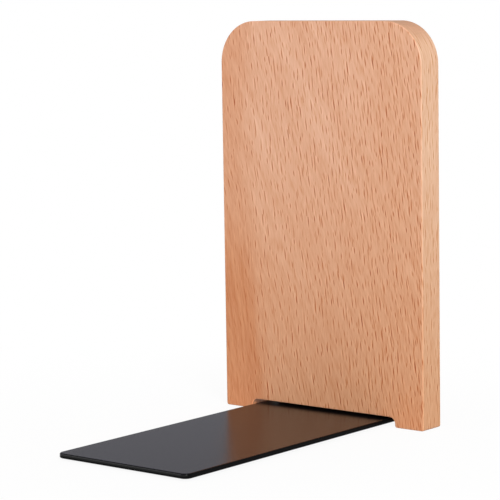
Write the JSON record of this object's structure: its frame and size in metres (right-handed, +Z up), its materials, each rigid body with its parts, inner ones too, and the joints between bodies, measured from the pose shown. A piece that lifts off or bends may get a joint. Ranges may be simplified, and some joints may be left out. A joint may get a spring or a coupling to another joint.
{
  "type": "wooden bookend",
  "caption": "Upright wooden board with rounded top corners, on a long flat steel foot that slides under books to hold them up.",
  "frame": {"origin": "centre of the part's bounding box at its underside, on the shelf that it stands on", "axes": "+Z up, along the board's height; +X along the board's width; the foot reaches towards -Y, where the books stand, and the board's front face looks towards -Y"},
  "size_m": [0.1, 0.1352, 0.16],
  "materials": {
    "beech": "satin, sanded smooth and lightly oiled",
    "black_powder_coat": "semi-gloss black powder coat",
    "zinc_plated_steel": "zinc plated",
    "anti_slip_rubber": "matte"
  },
  "bodies": {
    "root": {"beech_board": "beech", "steel_angle": "black_powder_coat", "leg_screw_left": "zinc_plated_steel", "leg_screw_right": "zinc_plated_steel", "pad_front_left": "anti_slip_rubber", "pad_front_right": "anti_slip_rubber", "pad_rear_left": "anti_slip_rubber", "pad_rear_right": "anti_slip_rubber"}
  },
  "joints": []
}
